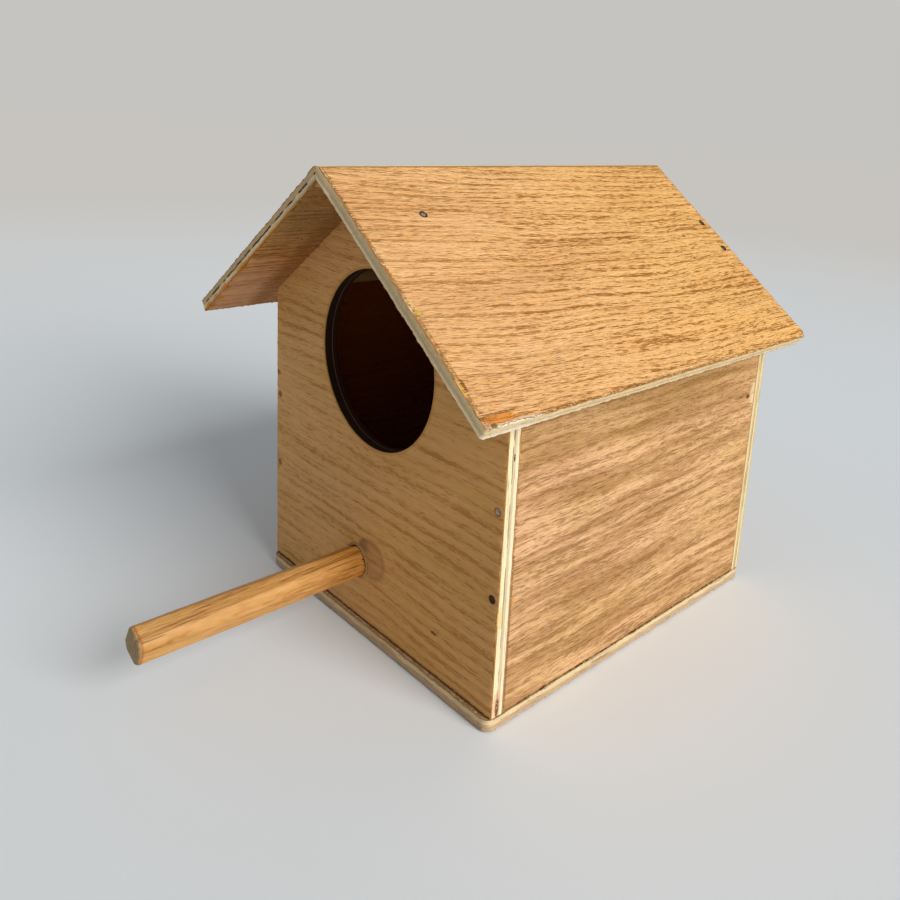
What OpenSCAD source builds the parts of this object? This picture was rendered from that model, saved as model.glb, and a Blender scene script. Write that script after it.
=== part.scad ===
// Plywood nest box for small birds: four walls on a base panel, a gabled roof of two
// panels, a round entrance, a perch and small wire nails.
// X runs across the front, Y from the front to the back, Z up.
// The origin lies under the middle of the base panel.

/* [Body] */
// Width across the front and back walls
body_w = 150; // [120:1:240]
// Depth from the front wall's face to the back wall's face
body_d = 166; // [120:1:260]
// Height of the walls at the eaves, above the base panel
eave_h = 128.3; // [115:0.1:220]
// Plywood thickness of the walls
wall_t = 6; // [4:0.5:12]

/* [Base] */
// Plywood thickness of the base panel
base_t = 6; // [3:0.1:12]
// How far the base stands out past each side wall
base_lip_side = 0.5; // [0.5:0.1:6]
// How far the base stands out past the front and back walls
base_lip_end = 2.1; // [1:0.1:12]
// Corner radius of the base panel, seen from above
base_corner_r = 4; // [1:0.5:10]

/* [Roof] */
// Slope of both roof panels, in degrees
roof_pitch = 36.5; // [25:0.5:45]
// Plywood thickness of the roof panels
roof_t = 5.3; // [3:0.1:12]
// How far the eaves reach past the side walls
roof_over_side = 17.8; // [6:0.1:50]
// How far the roof reaches past the front wall
roof_over_front = 27; // [6:0.5:60]
// How far the roof reaches past the back wall
roof_over_back = 2.5; // [0:0.5:40]
// Radius at the eave's front corner of the roof panels
roof_corner_front_r = 1.4; // [0.5:0.1:10]
// Radius at the eave's back corner of the roof panels
roof_corner_back_r = 4; // [1:0.5:10]
// How far the sharp ridge is sanded down
ridge_flat = 1.3; // [0.2:0.1:2]

/* [Entrance] */
// Diameter of the round entrance
entrance_d = 72; // [30:0.5:84]
// Height of the entrance's centre above the base panel
entrance_z = 114; // [95:0.5:125]

/* [Perch] */
// Diameter of the perch
perch_d = 13.4; // [8:0.1:18]
// Diameter of the perch's whittled end, in its hole and up to the end of the glue fillet
perch_tenon_d = 13; // [6:0.1:18]
// How far the perch stands out from the front wall
perch_out = 91.5; // [40:0.5:140]
// Place of the perch across the front wall, from its middle
perch_x = -9; // [-30:0.5:30]
// Height of the perch's axis above the base panel
perch_z = 25; // [15:0.5:38]
// Bevel round the perch's free end
perch_bevel = 1.2; // [0.4:0.1:3]

/* [Glue] */
// How far the glue fillet spreads on the wall past the perch's root
perch_glue_w = 2.4; // [1:0.1:5]
// Height of that fillet along the perch
perch_glue_h = 1.2; // [0.5:0.1:4]
// Half width of the glue bead in the corner under the ridge
ridge_glue_w = 3.4; // [1:0.1:8]
// How far the bead's end stays back from the roof's front edge
ridge_glue_back = 1; // [0.5:0.1:5]

/* [Nails] */
// Shank diameter of the nails
nail_d = 1.2; // [0.8:0.1:2]
// Head diameter of the nails
nail_head_d = 2.8; // [2.2:0.1:4]
// Head thickness of the nails
nail_head_t = 0.5; // [0.3:0.1:1]
// Whole length of a nail
nail_len = 16; // [12:1:30]
// Length of a nail's point
nail_point = 1.8; // [0.5:0.1:3]
// Height of the lower nail in the front and back walls' edges, above the base panel
wall_nail_low = 46.6; // [20:0.1:60]
// Height of the upper nail in the front and back walls' edges, above the base panel
wall_nail_high = 79.6; // [65:0.1:110]
// Distance down the slope from the ridge to the nail in the front wall
roof_nail_front = 27.7; // [10:0.1:60]
// Distance down the slope from the ridge to the upper nail in the back wall
roof_nail_back_a = 43.2; // [10:0.1:50]
// Distance down the slope from the ridge to the lower nail in the back wall
roof_nail_back_b = 59.9; // [55:0.1:68]
// Spacing of the two nails from the base into the front and the back wall
base_nail_span = 90; // [40:1:100]

/* [Fits] */
// Radial clearance of the perch's end in its hole
perch_fit = 0.05; // [0.02:0.01:0.2]
// Clearance round a nail in its own hole
nail_fit = 0.05; // [0.02:0.01:0.2]
// Clearance between a glue bead and the wood it sticks to
glue_fit = 0.05; // [0.02:0.01:0.2]

/* [Hidden] */
round_fn = 96;
nail_fn = 32;
cut = 1; // how far a cutter reaches past the face it cuts

front_y = -body_d / 2;
back_y = body_d / 2;
side_x = body_w / 2;
roof_rise = tan(roof_pitch);
gable_h = eave_h + side_x * roof_rise;
ridge_under_z = base_t + gable_h;
ridge_z = ridge_under_z + roof_t / cos(roof_pitch);
roof_slope = (side_x + roof_over_side) / cos(roof_pitch);
roof_len = body_d + roof_over_front + roof_over_back;
roof_front_y = front_y - roof_over_front;
perch_r = perch_d / 2;
perch_neck = perch_glue_h + glue_fit; // the whittled end shows this far, under the glue
ply = [0.76, 0.55, 0.33];
ply_roof = [0.89, 0.68, 0.42];
steel = [0.5, 0.51, 0.53];
glue = [0.78, 0.5, 0.2];

// Waste outside a quarter round at the corner that points to +X and +Y
module corner_waste(r, t) {
    translate([-r, -r, -cut]) difference() {
        cube([r + cut, r + cut, t + 2 * cut]);
        translate([0, 0, -cut]) cylinder(r = r, h = t + 4 * cut, $fn = round_fn);
    }
}

module nail() {
    translate([0, 0, -nail_head_t]) cylinder(d = nail_head_d, h = nail_head_t, $fn = nail_fn);
    translate([0, 0, nail_point - nail_len])
        cylinder(d = nail_d, h = nail_len - nail_point - nail_head_t, $fn = nail_fn);
    translate([0, 0, -nail_len]) cylinder(d1 = 0, d2 = nail_d, h = nail_point, $fn = nail_fn);
}

// The hole that a nail sits in, head recess and shank
module nail_hole() {
    translate([0, 0, -nail_head_t - nail_fit])
        cylinder(d = nail_head_d + 2 * nail_fit, h = nail_head_t + nail_fit + cut, $fn = nail_fn);
    translate([0, 0, -nail_len - nail_fit])
        cylinder(d = nail_d + 2 * nail_fit, h = nail_len, $fn = nail_fn);
}

// Nails through the front (end = -1) or back (end = 1) wall into one side wall
module at_wall_nails(side, end) {
    for (h = [wall_nail_low, wall_nail_high])
        translate([side * (side_x - wall_t / 2), end * body_d / 2, base_t + h])
            rotate([-90 * end, 0, 0]) children();
}

// A place on a roof panel's outer face: side 1 is right, -1 is left
module on_roof(side, slope, y) {
    translate([0, y, ridge_z]) rotate([0, side * roof_pitch, 0])
        translate([side * slope, 0, 0]) children();
}

module at_roof_front_nail(side) {
    on_roof(side, roof_nail_front, front_y + wall_t / 2) children();
}

module at_roof_back_nails(side) {
    for (s = [roof_nail_back_a, roof_nail_back_b])
        on_roof(side, s, back_y - wall_t / 2) children();
}

// Nails up through the base into the front (end = -1) or back (end = 1) wall
module at_base_end_nails(end) {
    for (side = [-1, 1])
        translate([side * base_nail_span / 2, end * (back_y - wall_t / 2), 0])
            rotate([180, 0, 0]) children();
}

module at_base_side_nail(side) {
    translate([side * (side_x - wall_t / 2), 0, 0]) rotate([180, 0, 0]) children();
}

// Axis of the perch, pointing out of the front wall's face
module at_perch() {
    translate([perch_x, front_y, base_t + perch_z]) rotate([90, 0, 0]) children();
}

module base_panel() {
    w = body_w + 2 * base_lip_side;
    d = body_d + 2 * base_lip_end;
    color(ply) difference() {
        translate([-w / 2, -d / 2, 0]) cube([w, d, base_t]);
        for (mx = [0, 1], my = [0, 1]) mirror([mx, 0, 0]) mirror([0, my, 0])
            translate([w / 2, d / 2, 0]) corner_waste(base_corner_r, base_t);
        for (end = [-1, 1]) at_base_end_nails(end) nail_hole();
        for (side = [-1, 1]) at_base_side_nail(side) nail_hole();
    }
}

// A gabled end wall, its outer face at y = 0 and its body behind it (+Y)
module gable_panel() {
    translate([0, wall_t, base_t]) rotate([90, 0, 0]) linear_extrude(wall_t)
        polygon([[-side_x, 0], [side_x, 0], [side_x, eave_h], [0, gable_h], [-side_x, eave_h]]);
}

module front_wall() {
    color(ply) difference() {
        translate([0, front_y, 0]) gable_panel();
        translate([0, front_y - cut, base_t + entrance_z]) rotate([-90, 0, 0])
            cylinder(d = entrance_d, h = wall_t + 2 * cut, $fn = round_fn);
        at_perch() translate([0, 0, -wall_t - cut])
            cylinder(d = perch_tenon_d + 2 * perch_fit, h = wall_t + 2 * cut, $fn = round_fn);
        for (side = [-1, 1]) {
            at_wall_nails(side, -1) nail_hole();
            at_roof_front_nail(side) nail_hole();
        }
        at_base_end_nails(-1) nail_hole();
    }
}

module back_wall() {
    color(ply) difference() {
        translate([0, back_y - wall_t, 0]) gable_panel();
        for (side = [-1, 1]) {
            at_wall_nails(side, 1) nail_hole();
            at_roof_back_nails(side) nail_hole();
        }
        at_base_end_nails(1) nail_hole();
    }
}

// A side wall between the end walls, its top bevelled to the roof
module side_wall(side) {
    inner_h = eave_h + wall_t * roof_rise;
    color(ply) difference() {
        translate([0, back_y - wall_t, base_t]) rotate([90, 0, 0])
            linear_extrude(body_d - 2 * wall_t)
                polygon([[side * side_x, 0], [side * side_x, eave_h],
                    [side * (side_x - wall_t), inner_h], [side * (side_x - wall_t), 0]]);
        for (end = [-1, 1]) at_wall_nails(side, end) nail_hole();
        at_base_side_nail(side) nail_hole();
    }
}

// A roof panel, mitred at the ridge and rounded at the two eave corners
module roof_panel(side) {
    color(ply_roof) difference() {
        mirror([side < 0 ? 1 : 0, 0, 0]) difference() {
            on_roof(1, 0, roof_front_y) difference() {
                translate([-roof_t, 0, -roof_t]) cube([roof_slope + roof_t, roof_len, roof_t]);
                translate([roof_slope, roof_len, -roof_t]) corner_waste(roof_corner_back_r, roof_t);
                translate([roof_slope, 0, -roof_t]) mirror([0, 1, 0])
                    corner_waste(roof_corner_front_r, roof_t);
            }
            translate([-2 * roof_t, roof_front_y - cut, ridge_z - 4 * roof_t])
                cube([2 * roof_t, roof_len + 2 * cut, 6 * roof_t]);
            translate([-cut, roof_front_y - cut, ridge_z - ridge_flat])
                cube([2 * roof_t, roof_len + 2 * cut, 2 * roof_t]);
        }
        at_roof_front_nail(side) nail_hole();
        at_roof_back_nails(side) nail_hole();
    }
}

module perch() {
    color(ply_roof) at_perch() {
        translate([0, 0, -wall_t])
            cylinder(d = perch_tenon_d, h = wall_t + perch_neck, $fn = round_fn);
        translate([0, 0, perch_neck])
            cylinder(d = perch_d, h = perch_out - perch_neck - perch_bevel, $fn = round_fn);
        translate([0, 0, perch_out - perch_bevel])
            cylinder(r1 = perch_r, r2 = perch_r - perch_bevel, h = perch_bevel, $fn = round_fn);
    }
}

module perch_glue() {
    inner = perch_tenon_d / 2 + glue_fit;
    color(glue) at_perch() rotate_extrude($fn = round_fn)
        polygon([[inner, 0], [inner + perch_glue_w, 0], [inner, perch_glue_h]]);
}

// A bead of glue in the corner under the ridge, along the front overhang
module ridge_glue() {
    top_z = ridge_under_z - glue_fit;
    color(glue) translate([0, front_y, 0]) rotate([90, 0, 0])
        linear_extrude(roof_over_front - ridge_glue_back)
            polygon([[0, top_z], [ridge_glue_w, top_z - ridge_glue_w * roof_rise],
                [-ridge_glue_w, top_z - ridge_glue_w * roof_rise]]);
}

module wall_nails(side, end) {
    color(steel) at_wall_nails(side, end) nail();
}

module roof_front_nail(side) {
    color(steel) at_roof_front_nail(side) nail();
}

module roof_back_nails(side) {
    color(steel) at_roof_back_nails(side) nail();
}

module base_end_nails(end) {
    color(steel) at_base_end_nails(end) nail();
}

module base_side_nails() {
    color(steel) for (side = [-1, 1]) at_base_side_nail(side) nail();
}

base_panel();
front_wall();
back_wall();
side_wall(-1);  // left_wall
side_wall(1);  // right_wall
roof_panel(-1);  // roof_left
roof_panel(1);  // roof_right
perch();
perch_glue();
ridge_glue();
wall_nails(-1, -1);  // front_left_nails
wall_nails(1, -1);  // front_right_nails
wall_nails(-1, 1);  // back_left_nails
wall_nails(1, 1);  // back_right_nails
roof_front_nail(-1);  // roof_left_front_nail
roof_back_nails(-1);  // roof_left_back_nails
roof_front_nail(1);  // roof_right_front_nail
roof_back_nails(1);  // roof_right_back_nails
base_end_nails(-1);  // base_front_nails
base_end_nails(1);  // base_back_nails
base_side_nails();
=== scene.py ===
# Nest box of oak veneered plywood: boards, perch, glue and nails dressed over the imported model
import bpy
import bmesh
from functools import partial
from math import radians, cos, sin, tan
from mathutils import Vector, Matrix, noise


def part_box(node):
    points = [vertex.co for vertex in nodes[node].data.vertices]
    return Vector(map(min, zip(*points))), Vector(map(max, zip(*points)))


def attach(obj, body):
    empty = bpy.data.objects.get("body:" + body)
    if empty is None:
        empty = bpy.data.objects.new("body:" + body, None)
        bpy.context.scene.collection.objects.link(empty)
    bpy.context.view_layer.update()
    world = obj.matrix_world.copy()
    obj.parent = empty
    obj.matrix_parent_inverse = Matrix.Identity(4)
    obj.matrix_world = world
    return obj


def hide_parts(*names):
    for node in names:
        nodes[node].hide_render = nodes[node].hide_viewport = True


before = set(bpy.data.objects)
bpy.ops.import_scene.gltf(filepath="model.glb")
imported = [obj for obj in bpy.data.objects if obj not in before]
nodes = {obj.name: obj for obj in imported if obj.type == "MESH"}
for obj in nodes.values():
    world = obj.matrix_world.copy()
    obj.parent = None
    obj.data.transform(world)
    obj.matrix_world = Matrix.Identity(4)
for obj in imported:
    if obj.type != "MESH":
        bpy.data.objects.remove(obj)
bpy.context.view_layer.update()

mm = 0.001
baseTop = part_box("base_panel")[1].z
pitch = radians(36.5)  # of the roof
print("frame loaded,", len(nodes), "nodes")

cameraSetup = {
    "place": (0.25808, -0.26895, 0.21948),
    "turn": (77.132, -3.684, 45.239),  # degrees
    "lens": 33.89,
    "shift": (-0.0778, -0.1667),
}

lightSetup = {
    "keyFrom": (0.88, 0.06, 0.44),  # towards the light
    "keySoft": 34.0,  # degrees across
    "keyStrength": 2.8,
    "keyTint": (1.0, 0.975, 0.94),
    "skyLevel": 0.285,
    "skyTint": (0.96, 0.98, 1.0),
    "backdrop": (0.565, 0.552, 0.53),
    "floor": (0.89, 0.945, 0.985),
    "floorFar": (0.848, 0.828, 0.797),
    "floorBounce": (0.75, 0.72, 0.68),  # what the floor throws back on the box
    "floorRadius": 6.0,
}


def clearSelection():
    if bpy.context.object and bpy.context.object.mode != "OBJECT":
        bpy.ops.object.mode_set(mode="OBJECT")
    bpy.ops.object.select_all(action="DESELECT")


def middleOf(nodeName, y):
    # the middle of a node's box, seen from the front, at a depth y
    low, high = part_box(nodeName)
    return Vector(((low.x + high.x) / 2, y, (low.z + high.z) / 2))


def named(name):
    # gives the object just made its name
    thing = bpy.context.object
    thing.name = thing.data.name = name
    return thing


def activate(thing):
    clearSelection()
    thing.select_set(True)
    bpy.context.view_layer.objects.active = thing


def addNode(tree, kind, **settings):
    node = tree.nodes.new(kind)
    for name, value in settings.items():
        setattr(node, name, value)
    return node


def feed(socket, value):
    # a value is either another node's output or a plain number or colour
    if isinstance(value, bpy.types.NodeSocket):
        socket.id_data.links.new(value, socket)
    elif socket.type == "RGBA":
        socket.default_value = (*value, 1)
    else:
        socket.default_value = value


def nodeFor(kind, *values, **settings):
    # a new node beside the first value that is another node's output, fed in order
    tree = next(v for v in values if isinstance(v, bpy.types.NodeSocket)).id_data
    node = addNode(tree, kind, **settings)
    for socket, value in zip(node.inputs, values):
        if value is not None:
            feed(socket, value)
    return node


def sums(operation, *values, clamp=False):
    return nodeFor("ShaderNodeMath", *values, operation=operation, use_clamp=clamp).outputs[0]


plus, minus, times, over, timesPlus = [
    partial(sums, kind) for kind in ("ADD", "SUBTRACT", "MULTIPLY", "DIVIDE", "MULTIPLY_ADD")]


def vectors(operation, a, b=None):
    node = nodeFor("ShaderNodeVectorMath", a, b, operation=operation)
    return node.outputs["Value" if operation == "LENGTH" else "Vector"]


def split(vector):
    return nodeFor("ShaderNodeSeparateXYZ", vector).outputs


def stack(x, y, z):
    return nodeFor("ShaderNodeCombineXYZ", x, y, z).outputs[0]


def spread(value, low, high, toLow=0.0, toHigh=1.0, smooth=True):
    how = "SMOOTHSTEP" if smooth else "LINEAR"
    return nodeFor("ShaderNodeMapRange", value, low, high, toLow, toHigh, interpolation_type=how).outputs[0]


def blend(amount, first, second, how="MIX"):
    # inputs 1 to 5 belong to other kinds of mix
    return nodeFor("ShaderNodeMix", amount, None, None, None, None, None, first, second,
                   data_type="RGBA", blend_type=how).outputs[2]


def cloudy(where, size, detail=2.0, rough=0.5, shift=(0, 0, 0)):
    # noise stretched to a size along x, y and z
    moved = vectors("ADD", where, shift) if any(shift) else where
    node = nodeFor("ShaderNodeTexNoise", vectors("DIVIDE", moved, size))
    for name, value in (("Scale", 1), ("Detail", detail), ("Roughness", rough)):
        node.inputs[name].default_value = value
    return node.outputs["Fac"]


def newGroup(name, vectorLabels, colourLabels, numberLabels, outLabels):
    tree = bpy.data.node_groups.new(name, "ShaderNodeTree")
    for labels, kind in ((vectorLabels, "Vector"), (colourLabels, "Color"), (numberLabels, "Float")):
        for label in labels.split():
            tree.interface.new_socket(name=label, in_out="INPUT", socket_type="NodeSocket" + kind)
    for label in outLabels.split():
        kind = "Color" if label == "colour" else "Float"
        tree.interface.new_socket(name=label, in_out="OUTPUT", socket_type="NodeSocket" + kind)
    return tree, addNode(tree, "NodeGroupInput").outputs, addNode(tree, "NodeGroupOutput").inputs


def useGroup(group, look, **values):
    # each input takes the value of its name, from those given here or else from the look
    node = addNode(values["place"].id_data, "ShaderNodeGroup", node_tree=group)
    for socket in node.inputs:
        if socket.name in values or socket.name in look:
            feed(socket, values.get(socket.name, look.get(socket.name)))
    return node.outputs


def startPaint(name, specular):
    paint = bpy.data.materials.new(name)
    paint.use_nodes = True
    surface = paint.node_tree.nodes["Principled BSDF"].inputs
    surface["Specular IOR Level"].default_value = specular
    return paint, paint.node_tree, surface


def finishPaint(surface, colour, rough, height, depth):
    # depth is how far a height of 1 stands out, in metres
    feed(surface["Base Color"], colour)
    feed(surface["Roughness"], rough)
    bump = nodeFor("ShaderNodeBump", None, None, None, height)
    bump.inputs["Distance"].default_value = depth
    feed(surface["Normal"], bump.outputs[0])


def objectPlace(tree):
    return addNode(tree, "ShaderNodeTexCoord").outputs["Object"]


def setCamera():
    bpy.ops.object.camera_add(location=cameraSetup["place"],
                              rotation=[radians(a) for a in cameraSetup["turn"]])
    eye = named("boxCamera")
    eye.data.sensor_width = 36
    eye.data.lens = cameraSetup["lens"]
    eye.data.shift_x, eye.data.shift_y = cameraSetup["shift"]
    eye.data.clip_start = 0.01
    bpy.context.scene.camera = eye


def setLight():
    towards = Vector(lightSetup["keyFrom"])
    bpy.ops.object.light_add(type="SUN", location=towards * 2,
                             rotation=towards.to_track_quat("Z", "Y").to_euler())
    key = named("windowLight")
    key.data.angle = radians(lightSetup["keySoft"])
    key.data.energy = lightSetup["keyStrength"]
    key.data.color = lightSetup["keyTint"]

    # soft sky for the object, plain pale grey for what the camera and gloss see
    sky = bpy.data.worlds.new("paleRoom")
    bpy.context.scene.world = sky
    sky.use_nodes = True
    tree = sky.node_tree
    tree.nodes.clear()
    soft, plain = [addNode(tree, "ShaderNodeBackground") for _ in range(2)]
    feed(soft.inputs["Color"], lightSetup["skyTint"])
    soft.inputs["Strength"].default_value = lightSetup["skyLevel"]
    feed(plain.inputs["Color"], lightSetup["backdrop"])
    seen = addNode(tree, "ShaderNodeLightPath").outputs
    either = sums("MAXIMUM", seen["Is Camera Ray"], seen["Is Glossy Ray"])
    mix = nodeFor("ShaderNodeMixShader", either, soft.outputs[0], plain.outputs[0])
    feed(addNode(tree, "ShaderNodeOutputWorld").inputs["Surface"], mix.outputs[0])
    bpy.context.scene.view_settings.view_transform = "Standard"


def layFloor():
    clearSelection()
    bpy.ops.mesh.primitive_circle_add(vertices=96, radius=lightSetup["floorRadius"], fill_type="NGON",
                                      location=(0, 0, 0))
    floor = named("paleFloor")
    paint, tree, surface = startPaint("paleFloor", 0.0)
    surface["Roughness"].default_value = 1.0
    where = objectPlace(tree)
    tone = blend(cloudy(where, (1 / 6,) * 3, 3.0), [c * 0.99 for c in lightSetup["floor"]],
                 [c * 1.01 for c in lightSetup["floor"]])
    # the floor fades into the backdrop
    faded = blend(spread(vectors("LENGTH", where), 0.3, 1.6), tone, lightSetup["floorFar"])
    seen = addNode(tree, "ShaderNodeLightPath").outputs["Is Camera Ray"]
    feed(surface["Base Color"], blend(seen, lightSetup["floorBounce"], faded))
    floor.data.materials.append(paint)


def seedShift(given, *steps):
    # moves a group's place by an amount of its own for each seed
    return vectors("ADD", given["place"], stack(*[times(given["seed"], step) for step in steps]))


def makeOakGrain():
    # place is in mm: x along the grain, y across it, z into the board
    group, given, out = newGroup(
        "oakGrain", "place", "pale tan dark pore patch",
        "bandWidth bands grain chains chainLength chainWidth ringWidth ringStrength ringWander "
        "tone fibre pores poreLength poreWidth patches lean arc wave seed", "colour height pores")
    place = seedShift(given, 37.1, 61.7, 11.3)
    # the rows of grain lean, bow and wander across the board
    along = split(given["place"])[0]
    lean = times(along, timesPlus(along, given["arc"], given["lean"]))
    wave = minus(cloudy(place, (58, 24, 60), 1.0), 0.5)
    ripple = minus(cloudy(place, (9, 6, 60), 1.0), 0.5)
    sway = times(timesPlus(ripple, 0.06, wave), given["wave"])
    place = vectors("ADD", place, stack(0, plus(sway, lean), 0))

    # growth rings: a sharp start of open pores that fades into denser wood
    wander = times(minus(cloudy(place, (210, 15, 60), 1.0), 0.5), given["ringWander"])
    ring = sums("FRACT", plus(over(split(place)[1], given["ringWidth"]), wander))
    early = times(spread(ring, 0.0, 0.16), spread(ring, 0.26, 0.8, 1.0, 0.0))
    crowd = spread(cloudy(place, (34, 3.0, 12), 2.0, 0.5, (13, 21, 4)), 0.34, 0.62)
    row = times(early, timesPlus(crowd, 0.75, 0.25))
    tone = cloudy(place, (90, 22, 60), 2.0)
    band = spread(cloudy(place, stack(52, given["bandWidth"], 60), 2.0, 0.45, (3, 17, 8)), 0.34, 0.66)

    # short ragged pores open in long chains; the tight wood between them is paler
    chain = cloudy(place, stack(given["chainLength"], given["chainWidth"], 20), 2.0, 0.5, (2, 41, 5))
    speckle = cloudy(place, stack(given["poreLength"], given["poreWidth"], 1.5), 2.0, 0.6, (5, 9, 3))
    fibre = spread(cloudy(place, (4.5, 0.5, 1.2), 1.0), 0.3, 0.7)
    pull = times(minus(chain, 0.5), given["chains"])
    worn = plus(plus(speckle, pull), timesPlus(row, 0.1, -0.04))
    pores = spread(worn, 0.57, 0.68)

    level = timesPlus(minus(tone, 0.5), given["tone"], 0.56)
    level = timesPlus(minus(band, 0.5), given["bands"], level)
    level = timesPlus(minus(0.35, row), given["ringStrength"], level)
    level = timesPlus(minus(0.5, worn), given["grain"], level)
    level = timesPlus(minus(fibre, 0.5), given["fibre"], level, clamp=True)
    colour = blend(spread(level, 0.0, 0.5, smooth=False), given["dark"], given["tan"])
    colour = blend(spread(level, 0.5, 1.0, smooth=False), colour, given["pale"])
    patch = spread(tone, 0.36, 0.56, 1.0, 0.0)
    colour = blend(times(patch, given["patches"]), colour, given["patch"], "MULTIPLY")
    feed(out["colour"], blend(times(pores, given["pores"], clamp=True), colour, given["pore"]))
    height = timesPlus(row, -0.35, timesPlus(worn, -2.2, times(fibre, 0.35)))
    feed(out["height"], timesPlus(pores, -0.4, height))
    feed(out["pores"], pores)
    return group


def makePlyLayers():
    # the cut edge by depth below the face: veneer, cream ply, core with voids, pale ply, veneer
    group, given, out = newGroup(
        "plyLayers", "place", "cream lower core glueLine hair veneer",
        "thickness coreStrength voids voidLength voidDepth hairs grime seed", "colour edge height")
    place = seedShift(given, 19.3, 43.9, 0.0)
    wobble = minus(cloudy(place, (5, 5, 30), 3.0, 0.6), 0.5)
    share = over(timesPlus(wobble, 0.7, split(given["place"])[2]), given["thickness"])

    def stripe(low, high, soft=0.012):
        fall = spread(minus(share, high), -soft, soft, 1.0, 0.0)
        return times(spread(share, low - soft, low + soft), fall)

    speck = cloudy(place, (0.6, 0.6, 0.4), 2.0, 0.7)
    fine = cloudy(place, (14, 14, 0.42), 3.0, 0.65)
    patch = spread(cloudy(place, (14, 14, 2.5), 3.0, 0.6), 0.46, 0.68)
    gapSize = stack(given["voidLength"], given["voidLength"], 9)
    gaps = spread(cloudy(place, gapSize, 2.0, 0.5, (7, 3, 0)), 0.38, 0.54)
    hair = times(spread(fine, 0.58, 0.64), spread(patch, 0.0, 0.5, 0.15, 1.0))
    colour = blend(spread(share, 0.52, 0.56), given["cream"], given["lower"])
    for mask, strength, tint in ((spread(fine, 0.4, 0.7), 0.11, "core"),
                                 (spread(speck, 0.5, 0.75), 0.15, "core"),
                                 (stripe(0.46, 0.68, 0.035), given["coreStrength"], "core"),
                                 (patch, given["grime"], "core"), (hair, given["hairs"], "hair")):
        colour = blend(times(mask, strength), colour, given[tint])
    void = times(times(stripe(0.43, plus(0.43, given["voidDepth"]), 0.02), gaps), given["voids"])
    colour = blend(void, colour, given["glueLine"])
    colour = blend(stripe(0.1, 0.91, 0.014), given["veneer"], colour)
    line = times(stripe(0.085, 0.115), spread(wobble, -0.14, 0.1, 0.15, 0.9))
    feed(out["colour"], blend(line, colour, given["hair"]))
    feed(out["edge"], stripe(0.04, 0.965, 0.006))
    feed(out["height"], timesPlus(void, -1.5, timesPlus(speck, 0.6, times(fine, 0.9))))
    return group


def makeRimWear():
    # chipped rim of a face: mask is 1 on the chips, line runs along where they broke off
    group, given, out = newGroup(
        "rimWear", "place centre half", "", "wear patchy seed", "mask line distance")
    away = vectors("ABSOLUTE", vectors("SUBTRACT", given["place"], given["centre"]))
    near = sums("MINIMUM", *split(vectors("SUBTRACT", given["half"], away))[:2])
    place = seedShift(given, 31.0, 0.0, 0.0)
    broken = cloudy(place, (2.6, 2.6, 6), 4.0, 0.7)
    where = spread(cloudy(place, (15, 15, 9), 2.0, 0.6, (4, 8, 1)), 0.36, 0.62)
    reach = timesPlus(times(spread(broken, 0.4, 0.75), where), times(given["patchy"], 3.2),
                      minus(1.0, given["patchy"]))
    ratio = over(near, sums("MAXIMUM", times(reach, given["wear"]), 0.02))
    edge = times(spread(ratio, 0.75, 0.98), spread(ratio, 1.02, 1.35, 1.0, 0.0))
    feed(out["mask"], spread(ratio, 0.85, 1.0, 1.0, 0.0))
    feed(out["line"], times(edge, spread(broken, 0.42, 0.6)))
    feed(out["distance"], near)
    return group


def makeStainSpot():
    # an oval round centre with an edge pushed about by noise: 1 inside, with its own rim mask
    group, given, out = newGroup("stainSpot", "place centre size", "", "noise wobble soft", "mask rim")
    away = vectors("DIVIDE", vectors("SUBTRACT", given["place"], given["centre"]), given["size"])
    reach = timesPlus(minus(given["noise"], 0.5), times(given["wobble"], 2.0), vectors("LENGTH", away))
    mask = spread(reach, minus(1.0, given["soft"]), plus(1.0, given["soft"]), 1.0, 0.0)
    feed(out["mask"], mask)
    feed(out["rim"], times(mask, spread(reach, 0.72, 0.95)))
    return group


oakGrain = makeOakGrain()
plyLayers = makePlyLayers()
rimWear = makeRimWear()
stainSpot = makeStainSpot()
print("shared effects made")


def boardSpace(tree, along, across, down, corner):
    # Object coordinates turned to mm on the board: along the grain, across it, below the face
    axes = Matrix((along, across, down))
    flip = -1 if axes.determinant() < 0 else 1
    node = nodeFor("ShaderNodeMapping", objectPlace(tree), vector_type="POINT")
    node.inputs["Scale"].default_value = (1000 * flip, 1000, 1000)
    node.inputs["Rotation"].default_value = (axes @ Matrix.Diagonal((flip, 1, 1))).to_euler("XYZ")
    node.inputs["Location"].default_value = axes @ Vector(corner) * -1000
    return node.outputs[0]


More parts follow.
